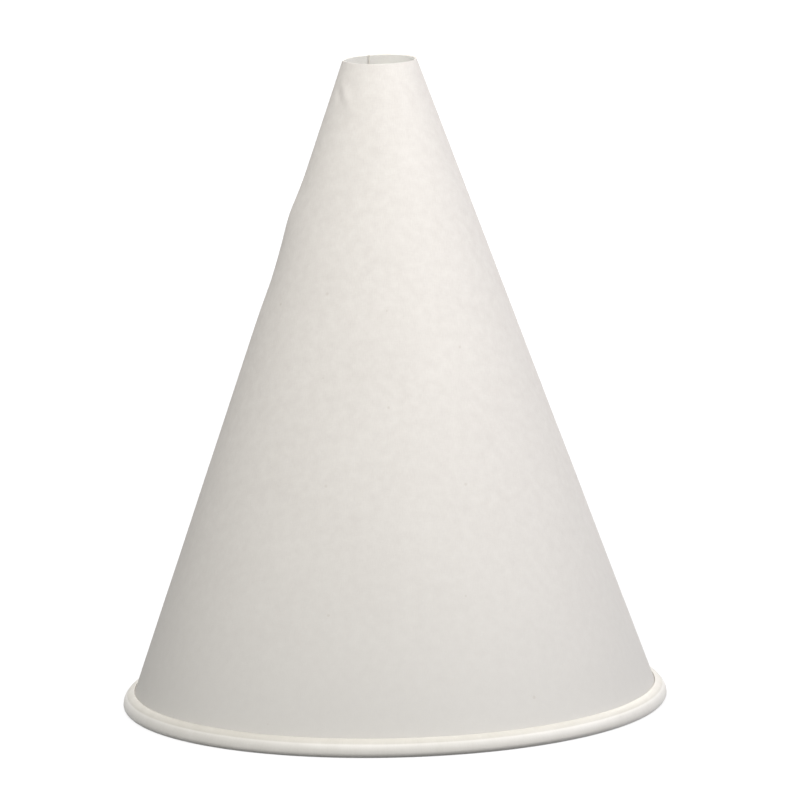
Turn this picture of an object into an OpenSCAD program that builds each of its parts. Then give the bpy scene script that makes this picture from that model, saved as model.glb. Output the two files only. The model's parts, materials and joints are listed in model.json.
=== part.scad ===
// Cone paper cup, standing on its rolled rim with the cut tip up.
// One sheet of paper: a cone wall closed by a glued lap, with the wide edge rolled outwards.
// Millimetres. Origin at the middle of the rim on the resting plane, +Z towards the tip.

/* [Cup] */
// Outside diameter over the rolled rim
rim_d = 97; // [75:0.5:125]
// Height from the resting plane to the middle of the cut tip
cup_h = 115.5; // [85:0.5:160]
// Outside diameter of the wall at the cut tip
tip_d = 13; // [9:0.5:24]
// Lean of the cut across the tip, in degrees, lower on the left
tip_lean = 0.5; // [0:0.5:8]
// Thickness of the paper
paper = 0.3; // [0.2:0.02:0.45]

/* [Rolled rim] */
// Inside radius of the roll's tight lower bend
roll_bend = 0.57; // [0.3:0.01:1]
// Outside radius of the roll's wide outer arc
roll_arc = 2.5; // [1.8:0.1:4]
// Turn of the lower bend past its lowest point, in degrees, where the outer arc begins
roll_turn = 75; // [60:1:90]
// Room left between the lap's outer ply and the sheet's rolled edge
ply_room = 0.05; // [0.02:0.01:0.3]
// Width of the flat that standing presses into the rim
rest_flat = 0.5; // [0.2:0.1:1]

/* [Lap seam] */
// Place of the lap around the cup, in degrees from the right-hand side
lap_place = 90; // [0:5:355]
// Width of the lap at the rim
lap_rim = 10; // [6:0.5:16]
// Width of the lap at the tip
lap_tip = 4; // [2.5:0.25:5]
// Slope of the outer ply where it steps over the inner ply's edge, in degrees
lap_slope = 25; // [15:1:45]

/* [Hidden] */
$fn = 160;

paper_white = [0.93, 0.91, 0.88];

// The roll: its outer arc carries on from the lower bend, and its edge stops short of the lap's outer ply
roll_r = roll_bend + paper;
wall_x = paper - roll_r;
edge_x = wall_x + paper + ply_room;
arc_x = (roll_r - roll_arc) * sin(roll_turn);
arc_y = (roll_arc - roll_r) * cos(roll_turn);
arc_end = acos((edge_x - arc_x) / (roll_arc - paper));
bend_steps = 24;
arc_steps = 12;

// The lower bend's middle, set so that the flat lies on the resting plane
rest_cut = roll_r - sqrt(pow(roll_r, 2) - pow(rest_flat / 2, 2));
bend_r = rim_d / 2 - roll_r;
bend_z = roll_r - rest_cut;

// The wall's lean: its outer face touches the lower bend's inside circle and passes the tip's edge
tip_in = bend_r - tip_d / 2;
tip_up = cup_h - bend_z;
wall_lean = atan2(tip_in, tip_up) - asin((roll_r - paper) / norm([tip_in, tip_up]));
tip_spare = tip_d / 4;
wall_run = (tip_up * cos(wall_lean) + tip_in * sin(wall_lean)) + tip_spare;

// The lap, measured along the wall from its half-way line
lap_half = wall_run / 2;
lap_turn = atan2(lap_rim - lap_tip, 2 * wall_run);
lap_edge = (lap_rim + lap_tip) / 4;
lap_sag = (tip_d - sqrt(pow(tip_d, 2) - pow(lap_tip, 2))) / 2;
ramp_tilt = lap_slope + asin(lap_tip / tip_d);
lap_depth = lap_sag + paper;
reach = rim_d + cup_h;

// Points along the roll at an inset from its outer face: from the wall round the lower bend and the arc
function roll_points(inset) = [
    for (step = [0:bend_steps])
        let (angle = 180 + (90 + roll_turn) * step / bend_steps)
            (roll_r - inset) * [cos(angle), sin(angle)],
    for (step = [1:arc_steps])
        let (angle = roll_turn - 90 + (arc_end - roll_turn + 90) * step / arc_steps)
            [arc_x, arc_y] + (roll_arc - inset) * [cos(angle), sin(angle)]
];

function reversed(points) = [for (i = [len(points) - 1:-1:0]) points[i]];

// Places a section that is drawn along the wall, with the lower bend's middle at its origin
module along_wall() {
    translate([bend_r, bend_z])
        rotate(wall_lean)
            children();
}

// The sheet's section: wall, tight lower bend and wide outer arc, which leans back to the wall
module sheet_section() {
    intersection() {
        along_wall()
            polygon(concat(
                [[-roll_r, wall_run]],
                roll_points(0),
                reversed(roll_points(paper)),
                [[wall_x, wall_run]]
            ));
        square([rim_d, reach]);
    }
}

// Places a shape on the wall's outer face, half-way up the lap: X outwards, Z towards the tip
module on_lap() {
    rotate([0, 0, lap_place])
        translate([bend_r, 0, bend_z])
            rotate([0, -wall_lean, 0])
                translate([wall_x, 0, lap_half])
                    children();
}

// Places a shape on the foot of the outer ply's ramp, with Z along that edge of the lap
module on_ramp() {
    on_lap()
        translate([-lap_sag, lap_edge, 0])
            rotate([lap_turn, 0, 0])
                children();
}

// The lap's outer ply: a second layer of the cone, cut square on one side and ramped on the other
module outer_ply() {
    intersection() {
        rotate_extrude()
            along_wall()
                translate([wall_x - paper / 2, 0])
                    square([1.5 * paper, wall_run]);
        on_lap()
            translate([-lap_depth, -lap_edge, 0])
                rotate([-lap_turn, 0, 0])
                    translate([0, 0, -reach])
                        cube([reach, rim_d / 2, 2 * reach]);
        on_ramp()
            rotate([0, 0, ramp_tilt - 90])
                translate([-reach / 2, -rim_d, -reach])
                    cube([reach, rim_d, 2 * reach]);
    }
}

// The groove inside the cup, between the inner ply's edge and the outer ply's ramp
module edge_groove() {
    edge_y = -paper / sin(ramp_tilt);
    depth = 2 * paper;
    on_ramp()
        linear_extrude(height = reach, center = true)
            polygon([
                [0, edge_y],
                [-depth, edge_y],
                [-depth, edge_y + depth / tan(ramp_tilt)]
            ]);
}

// Everything above the leaning cut across the tip
module above_tip() {
    translate([0, 0, cup_h])
        rotate([0, -tip_lean, 0])
            translate([-rim_d / 2, -rim_d / 2, 0])
                cube([rim_d, rim_d, reach]);
}

module cone_cup() {
    color(paper_white)
        difference() {
            union() {
                rotate_extrude()
                    sheet_section();
                outer_ply();
            }
            edge_groove();
            above_tip();
        }
}

cone_cup();
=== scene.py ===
"""Cone paper cup: one wound sheet with a rolled rim, its paper finishes and a plain studio."""
import json
import math
from types import SimpleNamespace

import bpy
from mathutils import Matrix, Vector


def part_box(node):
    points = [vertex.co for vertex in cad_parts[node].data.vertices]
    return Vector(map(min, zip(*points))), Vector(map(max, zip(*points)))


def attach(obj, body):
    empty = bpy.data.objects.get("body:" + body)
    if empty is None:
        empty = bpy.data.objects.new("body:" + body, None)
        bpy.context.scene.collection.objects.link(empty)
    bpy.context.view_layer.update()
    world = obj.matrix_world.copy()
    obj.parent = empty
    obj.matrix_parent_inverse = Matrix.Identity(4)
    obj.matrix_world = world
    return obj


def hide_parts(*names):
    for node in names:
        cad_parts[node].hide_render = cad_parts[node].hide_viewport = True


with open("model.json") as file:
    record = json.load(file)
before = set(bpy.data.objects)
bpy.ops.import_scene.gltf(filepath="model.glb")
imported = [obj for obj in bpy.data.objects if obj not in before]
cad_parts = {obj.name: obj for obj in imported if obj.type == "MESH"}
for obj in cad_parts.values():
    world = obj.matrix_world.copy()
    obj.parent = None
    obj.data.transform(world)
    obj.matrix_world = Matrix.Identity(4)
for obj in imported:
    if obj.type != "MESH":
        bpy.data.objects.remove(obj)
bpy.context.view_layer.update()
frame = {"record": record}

MM = 0.001

# Sizes of the sheet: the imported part's own, with a closer lap and rolled edge
cup_low, cup_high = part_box("cone_cup")
RIM_D = cup_high.x - cup_low.x
CUP_H = next(m["pos_m"][2] for m in frame["record"]["mounts"] if m["name"] == "tip_spout")
TIP_D = 13 * MM
TIP_LEAN = math.radians(0.5)
PAPER = 0.3 * MM
ROLL_BEND = 0.57 * MM
ROLL_ARC = 2.5 * MM
ROLL_TURN = math.radians(75)
PLY_ROOM = 0.05 * MM
REST_FLAT = 0.5 * MM
LAP_PLACE = math.radians(90)
LAP_RIM = 10 * MM
LAP_TIP = 4 * MM
LAP_RAMP = 0.64 * MM
LAP_GLUE = 0.02 * MM
EDGE_GAP = 0.04 * MM
# From the point of the unwound sheet to the rim
RIM_RUN = 142 * MM

# Small unevenness that winding and handling leave in the paper
COCKLE = 0.05 * MM
COCKLE_SPACING = 16 * MM
ROLL_RIPPLE = 0.16 * MM
RIPPLE_SCALE = 2.5
RIPPLE_DETAIL = 3.0
CUT_RAGGED = 0.05 * MM
RAGGED_SCALE = 6.0
RAGGED_DETAIL = 4.0

# The crease line along the roll: its place and width as shares of the outer arc
ROLL_CREASE = 0.06 * MM
CREASE_PLACE = 0.52
CREASE_WIDTH = 0.075
CREASE_SCALE = 3.5
CREASE_LEAST = 0.1
# The bare strip starts on the crease line, over this much of its width to each side
STRIP_FADE = 0.5

# Dents and creases: angle round the cup, height, turn from level, half length, half width, depth
MARKS = {
    "bulge on the left edge": (180, 88, 90, 4.2, 7.0, 0.42),
    "hollow below the bulge": (180, 76.5, 90, 4.0, 6.0, -0.16),
    "ridge beside the tip": (226, 109.7, 131, 3.0, 0.85, 0.16),
    "pinch beside the ridge": (211, 109.9, 131, 1.5, 0.75, -0.12),
    "nick under the ridge": (241, 105.9, 40, 1.7, 0.6, -0.1),
}

# Steps of the mesh: round the cup, then from the tip along the sheet to its rolled edge
LAP_STEPS = 10
RAMP_STEPS = 8
ROUND_STEPS = 224
WALL_STEPS = 110
LOWER_STEPS = 20
ARC_STEPS = 40
TIP_CROWDING = 1.6
# Cockle and marks fade out at the end of the wall, and the roll's ripple starts in the lower bend
WALL_FADE_STEPS = 13
ROLL_FROM = 1 / 3
# The flat slab reaches this far from its middle on each side, and its faces are told apart halfway
SLAB_HALF = 0.5
FACE_SPLIT = SLAB_HALF / 2

# Finishes of the paper's faces, with lengths in mm and display colours. Grain is the size of the clouds
# and the width and length of the fibres. Specks have a spacing, a size and the share of places that hold
# one. Tone and relief weigh the grain, and polish is what the grain takes off the roughness.
OUTSIDE = SimpleNamespace(
    grain=(1.8, 0.2, 1.1),
    broad_grain=(13, 0.3, 2),
    cloud_tone=0.7,
    broad_tone=0.35,
    fibre_tone=0.5,
    tone_range=(0.525, 1.025),
    tones=((231, 226, 221), (241, 237, 232)),
    # Painted shade: the outside's colour greys towards the rim, standing in for the shading of the lower
    # wall, where less light comes through the thin paper
    rim_color=(218, 216, 212),
    rim_painted_shade_strength=0.85,
    rim_painted_shade_power=3.5,
    specks=(12, 0.3, 0.2),
    speck_color=(188, 178, 164),
    speck_strength=0.22,
    roughness=0.84,
    polish=0.14,
    fibre_relief=0.7,
    cloud_relief=0.3,
    bump=0.25,
    depth=0.04,
    gloss=0.06,
)
COATED = SimpleNamespace(
    grain=(3.2, 0.22, 1.6),
    crimp_grain=(1.3, 0.5, 3),
    cloud_tone=0.6,
    fibre_tone=0.4,
    tone_range=(0.25, 0.75),
    inside_tones=((244, 242, 238), (251, 250, 247)),
    roll_tones=((223, 220, 214), (232, 229, 224)),
    strip_tones=((210, 206, 197), (220, 216, 208)),
    specks=(11, 0.3, 0.25),
    speck_color=(196, 187, 174),
    speck_strength=0.3,
    roughness=0.5,
    polish=0.16,
    fibre_relief=0.35,
    cloud_relief=0.25,
    crimp_relief=0.8,
    bump=0.2,
    depth=0.05,
    gloss=0.3,
)
CUT_EDGE = SimpleNamespace(
    grain=(0.6, 0.08, 0.3),
    tones=((226, 220, 211), (240, 236, 229)),
    roughness=0.95,
    polish=0.1,
    fibre_relief=0.7,
    cloud_relief=0.3,
    bump=0.5,
    depth=0.05,
    gloss=0.2,
)
CLOUD_DETAIL = 3.0
FIBRE_DETAIL = 2.0
CROSS_FIBRES = 0.6
CROSS_PLACE = 7.0
SPECK_LEAST = 0.4
SPECK_CORE = 0.4

# Camera of the photograph
CAMERA_ELEVATION = math.radians(9.82)
CAMERA_TURN = 0.024
CAMERA_DISTANCE = 1.552
CAMERA_LENS = 394.1
CAMERA_SHIFT = (0.0158, -0.0232)

# Studio: azimuth from the camera's side, elevation, distance, width, power and colour of each soft light
WARM = (1.0, 0.995, 0.97)
COOL = (0.985, 0.98, 1.0)
STUDIO_LIGHTS = {
    "left_light": (-25, 50, 0.75, 0.5, 5.15, WARM),
    "right_light": (50, 48, 0.9, 0.6, 1.75, COOL),
    "side_light": (90, 34, 0.9, 0.6, 4.65, COOL),
    "back_light": (175, 40, 1.0, 0.7, 4.0, COOL),
}
# Daylight that the thin paper lets into the cup
GLOW_HEIGHT = 50 * MM
GLOW_RADIUS = 10 * MM
GLOW_POWER = 0.014
AMBIENT = 0.04
WHITE = (1, 1, 1, 1)
# The floor's glow, as the eye sees it, rises from near the cup to far from it
FLOOR_SIZE = 8.0
FLOOR_COLOR = (0.2, 0.2, 0.2, 1)
FLOOR_GLOW_NEAR = 0.84
FLOOR_GLOW_FAR = 1.0
FLOOR_NEAR = 0.1
FLOOR_FAR = 0.7


class Wire:
    """A value in a node tree. Arithmetic on it adds Math nodes to the tree."""

    def __init__(self, tree, socket):
        self.tree = tree
        self.socket = socket

    def math(self, operation, *others):
        node = self.tree.nodes.new("ShaderNodeMath")
        node.operation = operation
        for socket, value in zip(node.inputs, (self, *others)):
            plug(self.tree, socket, value)
        return Wire(self.tree, node.outputs[0])

    def __add__(self, other):
        return self.math("ADD", other)

    def __sub__(self, other):
        return self.math("SUBTRACT", other)

    def __rsub__(self, other):
        return self.math("MULTIPLY_ADD", -1.0, other)

    def __mul__(self, other):
        return self.math("MULTIPLY", other)

    def __truediv__(self, other):
        return self.math("DIVIDE", other)

    def __pow__(self, other):
        return self.math("POWER", other)

    def __neg__(self):
        return self.math("MULTIPLY", -1.0)

    __radd__ = __add__


def plug(tree, socket, value):
    """Links a wire to a socket, or writes a plain value on it."""
    if isinstance(value, Wire):
        tree.links.new(value.socket, socket)
    else:
        socket.default_value = value


def add_node(tree, kind, values=None, **settings):
    """Adds a node with its settings, and plugs its inputs by name or by number."""
    node = tree.nodes.new(kind)
    for name, value in settings.items():
        setattr(node, name, value)
    for key, value in (values or {}).items():
        plug(tree, node.inputs[key], value)
    return node


def out(tree, node, key=0):
    return Wire(tree, node.outputs[key])


def sine(value):
    return value.math("SINE")


def cosine(value):
    return value.math("COSINE")


def bell(value):
    """1 at 0, and falling softly to both sides."""
    return (-(value * value)).math("EXPONENT")


def share(value, start, end, smooth=False):
    """0 before start, 1 after end, and straight or eased in between."""
    values = {"Value": value, "From Min": start, "From Max": end}
    easing = "SMOOTHSTEP" if smooth else "LINEAR"
    return out(value.tree, add_node(value.tree, "ShaderNodeMapRange", values, interpolation_type=easing))


def vector(tree, x, y, z=0.0):
    return out(tree, add_node(tree, "ShaderNodeCombineXYZ", {0: x, 1: y, 2: z}))


def length_of(tree, place):
    return out(tree, add_node(tree, "ShaderNodeVectorMath", {0: place}, operation="LENGTH"), "Value")


def noise(tree, place, scale=1.0, detail=2.0):
    """Soft noise from 0 to 1."""
    values = {"Vector": place, "Scale": scale, "Detail": detail}
    return out(tree, add_node(tree, "ShaderNodeTexNoise", values), "Fac")


def waver(tree, place, scale=1.0, detail=2.0):
    """Soft noise about 0, from -1 to 1."""
    return noise(tree, place, scale, detail) * 2.0 - 1.0


def new_socket(tree, name, kind="NodeSocketFloat", way="INPUT"):
    tree.interface.new_socket(name=name, in_out=way, socket_type=kind)


def group_inputs(tree):
    """The group's inputs as wires, by name."""
    node = tree.nodes.new("NodeGroupInput")
    return {socket.name: Wire(tree, socket) for socket in node.outputs if socket.name}


def sheet_sizes():
    """The section's sizes, worked out as the part's source does: bends, lean and run of the wall."""
    roll_r = ROLL_BEND + PAPER
    edge_x = PAPER - roll_r + PLY_ROOM
    arc_x = (roll_r - ROLL_ARC) * math.sin(ROLL_TURN)
    arc_end = math.acos((edge_x - arc_x) / (ROLL_ARC - PAPER))
    lap_rise = PAPER + LAP_GLUE
    lap_end = math.acos((edge_x + lap_rise - arc_x) / (ROLL_ARC - PAPER - lap_rise))
    rest_cut = roll_r - math.sqrt(roll_r ** 2 - (REST_FLAT / 2) ** 2)
    bend_r = RIM_D / 2 - roll_r
    bend_z = roll_r - rest_cut
    tip_in = bend_r - TIP_D / 2
    tip_up = CUP_H - bend_z
    slope = math.atan2(tip_in, tip_up)
    lean = slope - math.asin((roll_r - PAPER) / math.hypot(tip_in, tip_up))
    return {
        "Paper": PAPER,
        "Lower bend": roll_r - PAPER / 2,
        "Outer arc": ROLL_ARC - PAPER / 2,
        "Roll turn": ROLL_TURN,
        "Arc sweep": arc_end - ROLL_TURN + math.pi / 2,
        "Lap trim": arc_end - lap_end,
        "Bend radius": bend_r,
        "Bend height": bend_z,
        "Wall lean": lean,
        "Wall run": tip_up * math.cos(lean) + tip_in * math.sin(lean),
        "Tip radius": TIP_D / 2,
        "Tip slope": math.tan(TIP_LEAN),
        "Lap place": LAP_PLACE,
        "Lap at rim": LAP_RIM,
        "Lap at tip": LAP_TIP,
        "Lap ramp": LAP_RAMP,
        "Lap rise": lap_rise,
        "Edge gap": EDGE_GAP,
    }


def mark_group():
    """One dent or crease: a soft oval of the given depth, turned on the sheet."""
    tree = bpy.data.node_groups.new("sheet_mark", "GeometryNodeTree")
    for name in ("Around", "Up", "Turn", "Half length", "Half width", "Depth"):
        new_socket(tree, name)
    new_socket(tree, "Offset", way="OUTPUT")
    given = group_inputs(tree)
    turn_cos = cosine(given["Turn"])
    turn_sin = sine(given["Turn"])
    along = (given["Around"] * turn_cos + given["Up"] * turn_sin) / given["Half length"]
    across = (given["Up"] * turn_cos - given["Around"] * turn_sin) / given["Half width"]
    add_node(tree, "NodeGroupOutput", {"Offset": given["Depth"] * bell(along) * bell(across)})
    return tree


def marks_offset(tree, angle, radius, height):
    """The depth of all dents and creases at a place on the wall."""
    group = mark_group()
    offsets = []
    for mark_angle, mark_height, turn, length, width, depth in MARKS.values():
        values = {
            "Around": (angle - math.radians(mark_angle)) * radius,
            "Up": height - mark_height * MM,
            "Turn": math.radians(turn),
            "Half length": length * MM,
            "Half width": width * MM,
            "Depth": depth * MM,
        }
        offsets.append(out(tree, add_node(tree, "GeometryNodeGroup", values, node_tree=group), "Offset"))
    return sum(offsets[1:], offsets[0])


def kept(tree, geometry, name, value, data_type="FLOAT", domain="POINT"):
    """The geometry with a value kept on it under a name."""
    values = {"Geometry": geometry, "Name": name, "Value": value}
    node = add_node(tree, "GeometryNodeStoreNamedAttribute", values, data_type=data_type, domain=domain)
    return out(tree, node)


def wound_sheet_tree(outside, coated, cut_edge):
    """Winds a flat slab of paper into the cup: X runs round it, Y from the tip to the rolled edge."""
    tree = bpy.data.node_groups.new("wound_sheet", "GeometryNodeTree")
    for name in sheet_sizes():
        new_socket(tree, name)
    new_socket(tree, "Geometry", "NodeSocketGeometry", "OUTPUT")
    size = group_inputs(tree)

    ramp_end = LAP_STEPS + RAMP_STEPS
    columns = ramp_end + ROUND_STEPS
    lower_end = WALL_STEPS + LOWER_STEPS
    rows = lower_end + ARC_STEPS
    counts = {"Vertices X": columns + 1, "Vertices Y": rows + 1, "Vertices Z": 2}
    slab = out(tree, add_node(tree, "GeometryNodeMeshCube", counts), "Mesh")
    position = out(tree, add_node(tree, "GeometryNodeInputPosition"))
    flat = add_node(tree, "ShaderNodeSeparateXYZ", {0: position})
    column = (out(tree, flat, "X") + SLAB_HALF) * columns
    row = (out(tree, flat, "Y") + SLAB_HALF) * rows
    depth = out(tree, flat, "Z")

    # Stretches of the sheet: each share runs from 0 to 1, and the bends turn by an angle
    lap = share(column, 0, LAP_STEPS)
    ramp = share(column, LAP_STEPS, ramp_end)
    round_cup = share(column, ramp_end, columns)
    on_outer_ply = 1.0 - share(column, LAP_STEPS, ramp_end, smooth=True)
    wall = share(row, 0, WALL_STEPS) ** TIP_CROWDING
    arc_share = share(row, lower_end, rows)
    lower = share(row, WALL_STEPS, lower_end) * (size["Roll turn"] + math.pi / 2)
    arc = arc_share * (size["Arc sweep"] - size["Lap trim"] * on_outer_ply)

    # Angle round the cup: over the lap, down its ramp and once round to the covered edge
    lean_cos = cosine(size["Wall lean"])
    lean_sin = sine(size["Wall lean"])
    wall_radius = size["Bend radius"] - size["Wall run"] * (1.0 - wall) * lean_sin
    lap_width = size["Lap at tip"] + (size["Lap at rim"] - size["Lap at tip"]) * wall
    lap_angle = lap_width / wall_radius
    ramp_angle = size["Lap ramp"] / wall_radius
    round_angle = 2 * math.pi - ramp_angle - size["Edge gap"] / wall_radius
    start = size["Lap place"] - lap_angle / 2
    angle = start + lap_angle * lap + ramp_angle * ramp + round_angle * round_cup
    angle_cos = cosine(angle)
    angle_sin = sine(angle)
    ring = vector(tree, angle_cos, angle_sin)

    # The leaning, ragged cut across the tip lengthens or shortens the wall, below the part's top
    lean_tan = lean_sin / lean_cos
    tip_slope = angle_cos * size["Tip slope"]
    tip_rise = size["Tip radius"] * tip_slope / (lean_tan * tip_slope + 1.0)
    ragged = waver(tree, ring, RAGGED_SCALE, RAGGED_DETAIL) * CUT_RAGGED
    wall_run = size["Wall run"] + (tip_rise + ragged) / lean_cos - 2 * CUT_RAGGED

    # The middle of the sheet's section, with the lower bend's middle at its origin
    arc_start = size["Roll turn"] - math.pi / 2
    arc_across = cosine(arc_start + arc) - cosine(arc_start)
    arc_along = sine(arc_start + arc) - sine(arc_start)
    section_x = size["Outer arc"] * arc_across - size["Lower bend"] * cosine(lower)
    bends_y = size["Outer arc"] * arc_along - size["Lower bend"] * sine(lower)
    section_y = wall_run * (1.0 - wall) + bends_y
    facing = lower + arc

    # Unevenness of the wall: dents, creases and cockle
    wall_height = size["Bend height"] + section_y * lean_cos
    cone_place = vector(tree, wall_radius * angle_cos, wall_radius * angle_sin, wall_height)
    cockle = waver(tree, cone_place, 1 / COCKLE_SPACING) * COCKLE
    on_wall = 1.0 - share(row, WALL_STEPS - WALL_FADE_STEPS, WALL_STEPS, smooth=True)
    wall_uneven = (marks_offset(tree, angle, wall_radius, wall_height) + cockle) * on_wall

    # Unevenness of the roll: ripple and the crease line
    on_roll = share(row, WALL_STEPS + LOWER_STEPS * ROLL_FROM, lower_end, smooth=True)
    ripple = noise(tree, ring, RIPPLE_SCALE, RIPPLE_DETAIL) * ROLL_RIPPLE
    off_crease = (arc_share - CREASE_PLACE) / CREASE_WIDTH
    crease = (noise(tree, ring, CREASE_SCALE) + CREASE_LEAST) * ROLL_CREASE * bell(off_crease)
    edge_strip = share(off_crease, -STRIP_FADE, STRIP_FADE, smooth=True)

    # Each point stands off the middle by its ply of the lap, the unevenness and its own face
    ply = size["Lap rise"] * on_outer_ply
    stand_off = ply + wall_uneven + (ripple + crease) * on_roll - depth * size["Paper"]
    point_x = section_x + stand_off * cosine(facing)
    point_y = section_y + stand_off * sine(facing)
    radius = size["Bend radius"] + point_x * lean_cos - point_y * lean_sin
    height = (size["Bend height"] + point_x * lean_sin + point_y * lean_cos).math("MAXIMUM", 0.0)
    place = vector(tree, radius * angle_cos, radius * angle_sin, height)

    # The same point on the sheet before winding, for the grain of the paper
    length = wall_run * wall + size["Lower bend"] * lower + size["Outer arc"] * arc
    apex_run = size["Tip radius"] / lean_sin + length
    spread = (angle - size["Lap place"] - math.pi) * lean_sin
    unwound = vector(tree, apex_run * sine(spread), apex_run * cosine(spread))

    # Faces of the slab: the outside below, the coated side above, the cut edges in between
    capture = add_node(tree, "GeometryNodeCaptureAttribute", {0: slab}, domain="FACE")
    capture.capture_items.new("FLOAT", "Side")
    plug(tree, capture.inputs["Side"], depth)
    side = out(tree, capture, "Side")
    is_coated = side.math("GREATER_THAN", FACE_SPLIT)
    is_edge = 1.0 - side.math("ABSOLUTE").math("GREATER_THAN", FACE_SPLIT)

    sheet = kept(tree, out(tree, capture), "sheet", unwound, "FLOAT2", "CORNER")
    sheet = kept(tree, sheet, "rolled", on_roll)
    sheet = kept(tree, sheet, "edge_strip", edge_strip)
    sheet = out(tree, add_node(tree, "GeometryNodeSetPosition", {"Geometry": sheet, "Position": place}))
    shading = {"Geometry": sheet, "Selection": 1.0 - is_edge, "Shade Smooth": True}
    sheet = out(tree, add_node(tree, "GeometryNodeSetShadeSmooth", shading))
    sheet = out(tree, add_node(tree, "GeometryNodeRealizeInstances", {0: sheet}))
    for material, chosen in ((outside, True), (coated, is_coated), (cut_edge, is_edge)):
        values = {"Geometry": sheet, "Selection": chosen, "Material": material}
        sheet = out(tree, add_node(tree, "GeometryNodeSetMaterial", values))
    add_node(tree, "NodeGroupOutput", {"Geometry": sheet})
    return tree


def wind_sheet(name, tree):
    """Makes a plain mesh object of the wound sheet."""
    piece = bpy.data.objects.new(name, bpy.data.meshes.new(name))
    bpy.context.scene.collection.objects.link(piece)
    modifier = piece.modifiers.new("wound_sheet", "NODES")
    modifier.node_group = tree
    sizes = sheet_sizes()
    for socket in tree.interface.items_tree:
        if socket.in_out == "INPUT":
            modifier[socket.identifier] = sizes[socket.name]
    depsgraph = bpy.context.evaluated_depsgraph_get()
    mesh = bpy.data.meshes.new_from_object(piece.evaluated_get(depsgraph))
    piece.modifiers.clear()
    piece.data = mesh
    mesh.name = name
    return piece


def paper_fibre_group():
    """Paper as it forms on the wire: cloudy patches, and fibres along and across the grain."""
    tree = bpy.data.node_groups.new("paper_fibre", "ShaderNodeTree")
    new_socket(tree, "Sheet", "NodeSocketVector")
    for name in ("Cloud size", "Fibre width", "Fibre length"):
        new_socket(tree, name)
    new_socket(tree, "Cloud", way="OUTPUT")
    new_socket(tree, "Fibre", way="OUTPUT")
    given = group_inputs(tree)
    sheet = add_node(tree, "ShaderNodeSeparateXYZ", {0: given["Sheet"]})
    across = out(tree, sheet, "X")
    along = out(tree, sheet, "Y")
    cloud_place = vector(tree, across / given["Cloud size"], along / given["Cloud size"])
    along_place = vector(tree, across / given["Fibre width"], along / given["Fibre length"])
    cross_place = vector(tree, across / given["Fibre length"], along / given["Fibre width"], CROSS_PLACE)
    cloud = noise(tree, cloud_place, detail=CLOUD_DETAIL)
    fibre_along = noise(tree, along_place, detail=FIBRE_DETAIL)
    fibre_cross = waver(tree, cross_place, detail=FIBRE_DETAIL) * (CROSS_FIBRES / 2)
    add_node(tree, "NodeGroupOutput", {"Cloud": cloud, "Fibre": fibre_along + fibre_cross})
    return tree


def paper_speck_group():
    """Sparse specks of darker pulp in the sheet."""
    tree = bpy.data.node_groups.new("paper_speck", "ShaderNodeTree")
    new_socket(tree, "Sheet", "NodeSocketVector")
    for name in ("Spacing", "Speck size", "Share"):
        new_socket(tree, name)
    new_socket(tree, "Speck", way="OUTPUT")
    given = group_inputs(tree)
    sheet = add_node(tree, "ShaderNodeSeparateXYZ", {0: given["Sheet"]})
    across = out(tree, sheet, "X") / given["Spacing"]
    along = out(tree, sheet, "Y") / given["Spacing"]
    values = {"Vector": vector(tree, across, along), "Scale": 1.0}
    cells = add_node(tree, "ShaderNodeTexVoronoi", values, voronoi_dimensions="2D")
    chance = add_node(tree, "ShaderNodeSeparateColor", {0: out(tree, cells, "Color")})
    chosen = out(tree, chance, 0).math("LESS_THAN", given["Share"])
    reach = given["Speck size"] / given["Spacing"] * (out(tree, chance, 1) + SPECK_LEAST)
    near = 1.0 - share(out(tree, cells, "Distance"), reach * SPECK_CORE, reach, smooth=True)
    add_node(tree, "NodeGroupOutput", {"Speck": near * chosen})
    return tree


def srgb(red, green, blue):
    """A display colour, 0 to 255, as a linear one."""
    levels = [value / 255 for value in (red, green, blue)]
    linear = [v / 12.92 if v <= 0.04045 else ((v + 0.055) / 1.055) ** 2.4 for v in levels]
    return (*linear, 1.0)


def mixed_color(tree, factor, first, second):
    """A colour between two, each a wire or a display colour, by a factor from 0 to 1."""
    node = add_node(tree, "ShaderNodeMix", data_type="RGBA")
    sockets = {socket.identifier: socket for socket in node.inputs}
    plug(tree, sockets["Factor_Float"], factor)
    for key, color in (("A_Color", first), ("B_Color", second)):
        plug(tree, sockets[key], color if isinstance(color, Wire) else srgb(*color))
    result = next(socket for socket in node.outputs if socket.identifier == "Result_Color")
    return Wire(tree, result)


def new_material(name):
    material = bpy.data.materials.new(name)
    material.use_nodes = True
    tree = material.node_tree
    tree.nodes.clear()
    return material, tree


def sheet_place(tree):
    """The place on the sheet before winding."""
    return out(tree, add_node(tree, "ShaderNodeUVMap", uv_map="sheet"))


def kept_value(tree, name):
    """A value that the wound sheet keeps on its points."""
    return out(tree, add_node(tree, "ShaderNodeAttribute", attribute_name=name), "Fac")


def grain(tree, group, sheet, sizes):
    """Places the fibre group with its sizes in mm, and gives its clouds and its fibres."""
    cloud_size, width, length = (size * MM for size in sizes)
    values = {"Sheet": sheet, "Cloud size": cloud_size, "Fibre width": width, "Fibre length": length}
    node = add_node(tree, "ShaderNodeGroup", values, node_tree=group)
    return out(tree, node, "Cloud"), out(tree, node, "Fibre")


def specked(tree, group, sheet, finish, paper):
    """The paper's colour with the specks of darker pulp in it."""
    spacing, size, chance = finish.specks
    values = {"Sheet": sheet, "Spacing": spacing * MM, "Speck size": size * MM, "Share": chance}
    node = add_node(tree, "ShaderNodeGroup", values, node_tree=group)
    return mixed_color(tree, out(tree, node, "Speck") * finish.speck_strength, paper, finish.speck_color)


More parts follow.
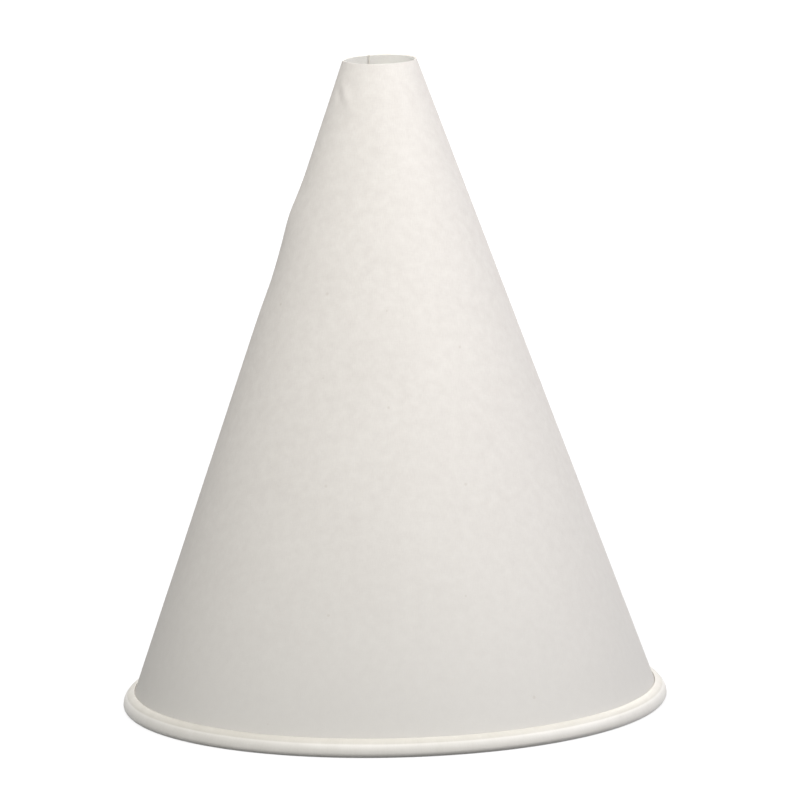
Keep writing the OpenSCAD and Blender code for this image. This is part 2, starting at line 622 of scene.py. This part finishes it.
def finish_paper(tree, finish, color, smoother, height):
    """The paper's shader: wires for what varies, plain values on its own sockets for the rest."""
    relief = {"Strength": finish.bump, "Distance": finish.depth * MM, "Height": height}
    bump = add_node(tree, "ShaderNodeBump", relief)
    values = {
        "Base Color": color,
        "Roughness": finish.roughness - smoother * finish.polish,
        "Specular IOR Level": finish.gloss,
        "Normal": out(tree, bump),
    }
    shader = add_node(tree, "ShaderNodeBsdfPrincipled", values)
    add_node(tree, "ShaderNodeOutputMaterial", {"Surface": out(tree, shader)})


def paper_outside(fibre_group, speck_group):
    """The cup's uncoated outside: off-white, matt, faintly cloudy, with painted shade that greys it
    towards the rim.
    """
    material, tree = new_material("paper_outside")
    sheet = sheet_place(tree)
    cloud, fibre = grain(tree, fibre_group, sheet, OUTSIDE.grain)
    broad, _ = grain(tree, fibre_group, sheet, OUTSIDE.broad_grain)
    mottle = cloud * OUTSIDE.cloud_tone + broad * OUTSIDE.broad_tone + fibre * OUTSIDE.fibre_tone
    clean = mixed_color(tree, share(mottle, *OUTSIDE.tone_range), *OUTSIDE.tones)
    # Painted shade: the colour greys more and more towards the rim, in place of the lower wall's shading
    painted_rim_shade = (length_of(tree, sheet) / RIM_RUN) ** OUTSIDE.rim_painted_shade_power
    paper = mixed_color(tree, painted_rim_shade * OUTSIDE.rim_painted_shade_strength, clean, OUTSIDE.rim_color)
    color = specked(tree, speck_group, sheet, OUTSIDE, paper)
    height = fibre * OUTSIDE.fibre_relief + cloud * OUTSIDE.cloud_relief
    finish_paper(tree, OUTSIDE, color, cloud, height)
    return material


def paper_coated(fibre_group, speck_group):
    """The coated side: the inside of the cup, duller where the roll shows it and bare along its edge."""
    material, tree = new_material("paper_coated")
    sheet = sheet_place(tree)
    rolled = kept_value(tree, "rolled")
    edge_strip = kept_value(tree, "edge_strip")
    cloud, fibre = grain(tree, fibre_group, sheet, COATED.grain)
    crimp, _ = grain(tree, fibre_group, sheet, COATED.crimp_grain)
    mottle = cloud * COATED.cloud_tone + fibre * COATED.fibre_tone
    tone = share(mottle, *COATED.tone_range)
    inside = mixed_color(tree, tone, *COATED.inside_tones)
    dulled = mixed_color(tree, tone, *COATED.roll_tones)
    bare = mixed_color(tree, tone, *COATED.strip_tones)
    paper = mixed_color(tree, edge_strip, mixed_color(tree, rolled, inside, dulled), bare)
    color = specked(tree, speck_group, sheet, COATED, paper)
    crimped = crimp * rolled * COATED.crimp_relief
    height = fibre * COATED.fibre_relief + cloud * COATED.cloud_relief + crimped
    finish_paper(tree, COATED, color, cloud, height)
    return material


def paper_cut_edge(fibre_group):
    """The raw edge where the sheet was cut: bare fibre ends."""
    material, tree = new_material("paper_cut_edge")
    cloud, fibre = grain(tree, fibre_group, sheet_place(tree), CUT_EDGE.grain)
    color = mixed_color(tree, fibre, *CUT_EDGE.tones)
    height = fibre * CUT_EDGE.fibre_relief + cloud * CUT_EDGE.cloud_relief
    finish_paper(tree, CUT_EDGE, color, fibre, height)
    return material


def shown_rays(tree):
    """1 for rays that show a background to the eye, straight or through gloss and glass."""
    path = add_node(tree, "ShaderNodeLightPath")
    straight = out(tree, path, "Is Camera Ray")
    glossy = out(tree, path, "Is Glossy Ray")
    through = out(tree, path, "Is Transmission Ray")
    return straight.math("MAXIMUM", glossy).math("MAXIMUM", through)


def studio_floor():
    """A wide pale floor that shows white and still takes the cup's shadow."""
    half = FLOOR_SIZE / 2
    mesh = bpy.data.meshes.new("studio_floor")
    corners = [(-half, -half, 0), (half, -half, 0), (half, half, 0), (-half, half, 0)]
    mesh.from_pydata(corners, [], [(0, 1, 2, 3)])
    floor = bpy.data.objects.new("studio_floor", mesh)
    bpy.context.scene.collection.objects.link(floor)
    material, tree = new_material("studio_floor")
    lit = add_node(tree, "ShaderNodeBsdfDiffuse", {"Color": FLOOR_COLOR})
    place = out(tree, add_node(tree, "ShaderNodeTexCoord"), "Object")
    far = share(length_of(tree, place), FLOOR_NEAR, FLOOR_FAR, smooth=True)
    brightness = far * (FLOOR_GLOW_FAR - FLOOR_GLOW_NEAR) + FLOOR_GLOW_NEAR
    glow = add_node(tree, "ShaderNodeEmission", {"Strength": shown_rays(tree) * brightness})
    both = add_node(tree, "ShaderNodeAddShader", {0: out(tree, lit), 1: out(tree, glow)})
    add_node(tree, "ShaderNodeOutputMaterial", {"Surface": out(tree, both)})
    mesh.materials.append(material)
    return floor


def studio_world():
    """White where the background shows, and a low even light on the cup."""
    world = bpy.data.worlds.new("studio_world")
    world.use_nodes = True
    tree = world.node_tree
    tree.nodes.clear()
    strength = AMBIENT + shown_rays(tree) * (1 - AMBIENT)
    background = add_node(tree, "ShaderNodeBackground", {"Color": WHITE, "Strength": strength})
    add_node(tree, "ShaderNodeOutputWorld", {"Surface": out(tree, background)})
    bpy.context.scene.world = world


def studio_light(name, azimuth, elevation, distance, width, power, color, target):
    """A square soft light that faces the cup."""
    turn = math.radians(azimuth)
    rise = math.radians(elevation)
    level = math.cos(rise)
    away = Vector((math.sin(turn) * level, -math.cos(turn) * level, math.sin(rise)))
    data = bpy.data.lights.new(name, "AREA")
    data.size = width
    data.energy = power
    data.color = color
    light = bpy.data.objects.new(name, data)
    light.location = target + away * distance
    light.rotation_mode = "QUATERNION"
    light.rotation_quaternion = away.to_track_quat("Z", "Y")
    bpy.context.scene.collection.objects.link(light)


def inside_glow():
    """The light that comes through the paper: a soft lamp in the hollow of the cup, itself unseen."""
    data = bpy.data.lights.new("inside_glow", "POINT")
    data.energy = GLOW_POWER
    data.shadow_soft_size = GLOW_RADIUS
    light = bpy.data.objects.new("inside_glow", data)
    light.location = (0, 0, GLOW_HEIGHT)
    light.visible_camera = False
    bpy.context.scene.collection.objects.link(light)


def photo_camera(target):
    """The photograph's camera, with its slight turn about the line of sight."""
    back = Vector((0, -math.cos(CAMERA_ELEVATION), math.sin(CAMERA_ELEVATION)))
    level_up = Vector((0, math.sin(CAMERA_ELEVATION), math.cos(CAMERA_ELEVATION)))
    level_right = Vector((1, 0, 0))
    right = level_right * math.cos(CAMERA_TURN) - level_up * math.sin(CAMERA_TURN)
    up = level_right * math.sin(CAMERA_TURN) + level_up * math.cos(CAMERA_TURN)
    place = Matrix((right, up, back)).transposed().to_4x4()
    place.translation = target + back * CAMERA_DISTANCE
    data = bpy.data.cameras.new("photo_camera")
    data.lens = CAMERA_LENS
    data.shift_x, data.shift_y = CAMERA_SHIFT
    camera = bpy.data.objects.new("photo_camera", data)
    camera.matrix_world = place
    bpy.context.scene.collection.objects.link(camera)
    bpy.context.scene.camera = camera


fibre_group = paper_fibre_group()
speck_group = paper_speck_group()
sheet_tree = wound_sheet_tree(
    paper_outside(fibre_group, speck_group),
    paper_coated(fibre_group, speck_group),
    paper_cut_edge(fibre_group),
)
paper_cone = wind_sheet("paper_cone", sheet_tree)
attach(paper_cone, "root")
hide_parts("cone_cup")

cup_middle = (cup_low + cup_high) / 2
for light_name, light_values in STUDIO_LIGHTS.items():
    studio_light(light_name, *light_values, cup_middle)
inside_glow()
studio_world()
studio_floor()
photo_camera(cup_middle)
bpy.context.scene.view_settings.view_transform = "Standard"
